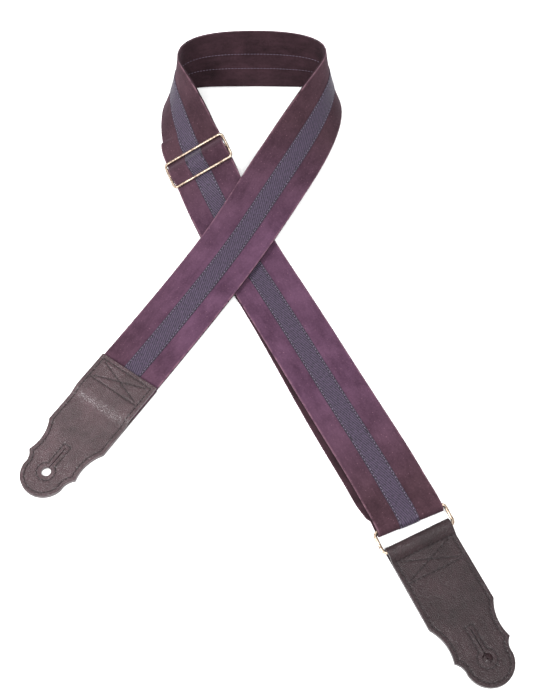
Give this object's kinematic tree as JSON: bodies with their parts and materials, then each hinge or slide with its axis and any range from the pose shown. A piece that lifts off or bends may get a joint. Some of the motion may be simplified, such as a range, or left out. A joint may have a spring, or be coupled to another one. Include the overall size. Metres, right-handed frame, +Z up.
{
  "type": "guitar strap",
  "caption": "Suede guitar strap with a stitched ribbon stripe, wire length slider, rectangular ring and two leather end tabs with slit button holes.",
  "frame": {"origin": "middle of the laid strap's outline, on the floor it lies on", "axes": "+Z up from the floor, +Y towards the loop, away from the two end tabs, +X towards the end tab on the ring"},
  "size_m": [0.3401, 0.5237, 0.0514],
  "materials": {
    "suede": "brushed suede, purple brown",
    "suede_inner": "rough flesh side, very dark brown",
    "webbing": "woven webbing",
    "ribbon": "herringbone twill weave, indigo",
    "thread": "bonded thread",
    "leather": "smooth dark brown leather, dyed edges",
    "brass": "pale antique brass wire"
  },
  "bodies": {
    "strap": {"strap_face": "suede", "strap_core": "webbing", "strap_backing": "suede_inner", "ribbon": "ribbon", "ribbon_thread_left": "thread", "ribbon_thread_right": "thread", "backing_thread_left": "thread", "backing_thread_right": "thread", "fixed_tab_top": "leather", "fixed_tab_bottom": "leather", "fixed_tab_edge_thread": "thread", "fixed_tab_box_thread": "thread", "fixed_tab_hole_thread": "thread"},
    "slider": {"slider_frame": "brass", "slider_bar": "brass", "slider_loop": "suede", "slider_loop_thread": "thread", "return_face": "suede", "return_core": "webbing", "return_backing": "suede_inner"},
    "turn": {"turn_face": "suede", "turn_core": "webbing", "turn_backing": "suede_inner", "turn_ribbon": "ribbon", "turn_thread_left": "thread", "turn_thread_right": "thread"},
    "ring": {"ring": "brass"},
    "free_tab": {"free_tab_leather": "leather", "free_tab_edge_thread": "thread", "free_tab_box_thread": "thread", "free_tab_hole_thread": "thread"}
  },
  "joints": [
    {"name": "slider_slide", "type": "slide", "parent": "strap", "child": "slider", "axis": [0.3884, -0.9199, -0.0548], "range_m": [-0.004, 0.008], "deforming": ["strap_face", "strap_core", "strap_backing", "ribbon", "ribbon_thread_left", "ribbon_thread_right", "backing_thread_left", "backing_thread_right", "return_face", "return_core", "return_backing"]},
    {"name": "ring_slide", "type": "slide", "parent": "strap", "child": "turn", "axis": [0.3918, -0.92, 0], "range_m": [-0.002, 0.004], "deforming": ["turn_face", "turn_core", "turn_backing", "turn_ribbon", "turn_thread_left", "turn_thread_right"]},
    {"name": "ring_swing", "type": "hinge", "parent": "turn", "child": "ring", "pos_m": [0.10531, -0.14484, 0.0042], "axis": [0.9131, 0.4078, 0], "range_deg": [-75, 75]},
    {"name": "free_tab_swing", "type": "hinge", "parent": "ring", "child": "free_tab", "pos_m": [0.11183, -0.15945, 0.0042], "axis": [0.9131, 0.4078, 0], "range_deg": [-100, 100]}
  ],
  "couplings": [
    {"joint": "ring_slide", "follows": "slider_slide", "ratio": 0.5}
  ]
}
